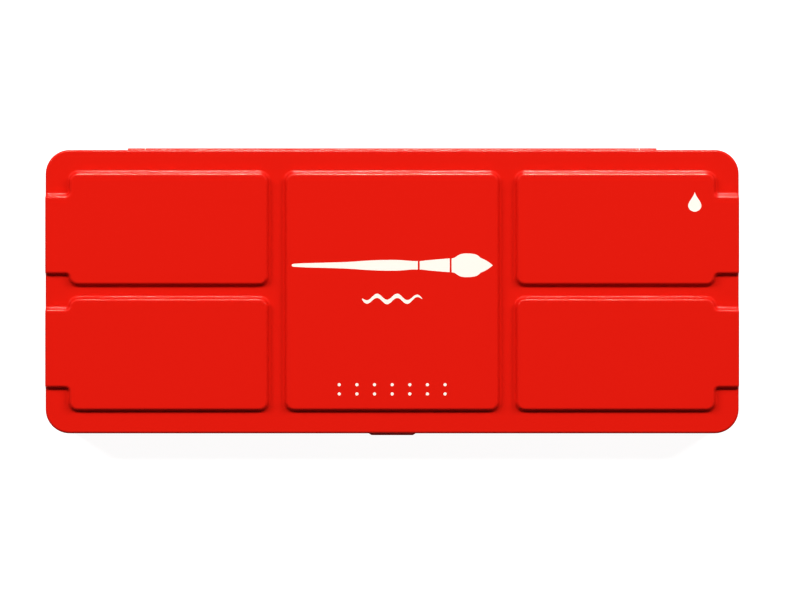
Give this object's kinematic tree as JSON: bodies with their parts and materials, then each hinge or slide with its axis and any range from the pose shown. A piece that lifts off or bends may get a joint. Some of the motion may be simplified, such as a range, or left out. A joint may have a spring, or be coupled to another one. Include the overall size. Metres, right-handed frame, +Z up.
{
  "type": "gouache paint set box",
  "caption": "Flat red tin with a hinged lid pressed into raised panels, which serve as mixing wells inside, over a moulded tray of round gouache pans, a tube of white and a brush.",
  "frame": {"origin": "on the table, under the middle of the shut lid", "axes": "+X along the tin's length to its right, +Y to the back, where the hinge is, +Z up"},
  "size_m": [0.248, 0.1031, 0.0202],
  "materials": {
    "red_lacquer": "gloss red lacquer on tinplate, white inside",
    "wire_steel": "drawn wire",
    "white_plastic": "white moulded polystyrene",
    "tube_aluminium": "painted collapsible tube",
    "gouache_white": "moist white gouache",
    "cap_plastic": "white moulded cap",
    "brush_wood": "lacquered wood",
    "ferrule_metal": "polished, two crimps",
    "brush_hair": "soft brown hair",
    "gouache_lemon_yellow": "dried matt gouache",
    "gouache_golden_yellow": "dried matt gouache",
    "gouache_orange": "dried matt gouache",
    "gouache_vermilion": "dried matt gouache",
    "gouache_carmine": "dried matt gouache",
    "gouache_magenta": "dried matt gouache",
    "gouache_violet": "dried matt gouache",
    "gouache_ultramarine": "dried matt gouache",
    "gouache_cyan_blue": "dried matt gouache",
    "gouache_emerald_green": "dried matt gouache",
    "gouache_yellow_green": "dried matt gouache",
    "gouache_ochre": "dried matt gouache",
    "gouache_brown": "dried matt gouache",
    "gouache_black": "dried matt gouache",
    "pan_plastic": "white moulded cup"
  },
  "bodies": {
    "base": {"base_tray": "red_lacquer", "hinge_pin": "wire_steel", "pan_tray": "white_plastic"},
    "lid": {"lid": "red_lacquer"},
    "tube": {"white_tube": "tube_aluminium", "white_tube_paint": "gouache_white"},
    "tube_cap": {"white_tube_cap": "cap_plastic"},
    "brush": {"brush_handle": "brush_wood", "brush_ferrule": "ferrule_metal", "brush_hair": "brush_hair"},
    "lemon_yellow_pan": {"pan_lemon_yellow": "pan_plastic", "gouache_lemon_yellow": "gouache_lemon_yellow"},
    "golden_yellow_pan": {"pan_golden_yellow": "pan_plastic", "gouache_golden_yellow": "gouache_golden_yellow"},
    "orange_pan": {"pan_orange": "pan_plastic", "gouache_orange": "gouache_orange"},
    "vermilion_pan": {"pan_vermilion": "pan_plastic", "gouache_vermilion": "gouache_vermilion"},
    "carmine_pan": {"pan_carmine": "pan_plastic", "gouache_carmine": "gouache_carmine"},
    "magenta_pan": {"pan_magenta": "pan_plastic", "gouache_magenta": "gouache_magenta"},
    "violet_pan": {"pan_violet": "pan_plastic", "gouache_violet": "gouache_violet"},
    "ultramarine_pan": {"pan_ultramarine": "pan_plastic", "gouache_ultramarine": "gouache_ultramarine"},
    "cyan_blue_pan": {"pan_cyan_blue": "pan_plastic", "gouache_cyan_blue": "gouache_cyan_blue"},
    "emerald_green_pan": {"pan_emerald_green": "pan_plastic", "gouache_emerald_green": "gouache_emerald_green"},
    "yellow_green_pan": {"pan_yellow_green": "pan_plastic", "gouache_yellow_green": "gouache_yellow_green"},
    "ochre_pan": {"pan_ochre": "pan_plastic", "gouache_ochre": "gouache_ochre"},
    "brown_pan": {"pan_brown": "pan_plastic", "gouache_brown": "gouache_brown"},
    "black_pan": {"pan_black": "pan_plastic", "gouache_black": "gouache_black"}
  },
  "joints": [
    {"name": "lid_hinge", "type": "hinge", "parent": "base", "child": "lid", "pos_m": [0, 0.0506, 0.0102], "axis": [-1, 0, 0], "range_deg": [0, 180]},
    {"name": "tube_slide", "type": "slide", "parent": "base", "child": "tube", "axis": [1, 0, 0], "range_m": [0, 0.135]},
    {"name": "cap_turn", "type": "hinge", "parent": "tube", "child": "tube_cap", "pos_m": [-0.035, -0.003, 0.00845], "axis": [1, 0, 0], "continuous": true},
    {"name": "brush_slide", "type": "slide", "parent": "base", "child": "brush", "axis": [1, 0, 0], "range_m": [0, 0.03]},
    {"name": "lemon_yellow_lift", "type": "slide", "parent": "base", "child": "lemon_yellow_pan", "axis": [0, 0, 1], "range_m": [0, 0.004]},
    {"name": "golden_yellow_lift", "type": "slide", "parent": "base", "child": "golden_yellow_pan", "axis": [0, 0, 1], "range_m": [0, 0.004]},
    {"name": "orange_lift", "type": "slide", "parent": "base", "child": "orange_pan", "axis": [0, 0, 1], "range_m": [0, 0.004]},
    {"name": "vermilion_lift", "type": "slide", "parent": "base", "child": "vermilion_pan", "axis": [0, 0, 1], "range_m": [0, 0.004]},
    {"name": "carmine_lift", "type": "slide", "parent": "base", "child": "carmine_pan", "axis": [0, 0, 1], "range_m": [0, 0.004]},
    {"name": "magenta_lift", "type": "slide", "parent": "base", "child": "magenta_pan", "axis": [0, 0, 1], "range_m": [0, 0.004]},
    {"name": "violet_lift", "type": "slide", "parent": "base", "child": "violet_pan", "axis": [0, 0, 1], "range_m": [0, 0.004]},
    {"name": "ultramarine_lift", "type": "slide", "parent": "base", "child": "ultramarine_pan", "axis": [0, 0, 1], "range_m": [0, 0.004]},
    {"name": "cyan_blue_lift", "type": "slide", "parent": "base", "child": "cyan_blue_pan", "axis": [0, 0, 1], "range_m": [0, 0.004]},
    {"name": "emerald_green_lift", "type": "slide", "parent": "base", "child": "emerald_green_pan", "axis": [0, 0, 1], "range_m": [0, 0.004]},
    {"name": "yellow_green_lift", "type": "slide", "parent": "base", "child": "yellow_green_pan", "axis": [0, 0, 1], "range_m": [0, 0.004]},
    {"name": "ochre_lift", "type": "slide", "parent": "base", "child": "ochre_pan", "axis": [0, 0, 1], "range_m": [0, 0.004]},
    {"name": "brown_lift", "type": "slide", "parent": "base", "child": "brown_pan", "axis": [0, 0, 1], "range_m": [0, 0.004]},
    {"name": "black_lift", "type": "slide", "parent": "base", "child": "black_pan", "axis": [0, 0, 1], "range_m": [0, 0.004]}
  ]
}
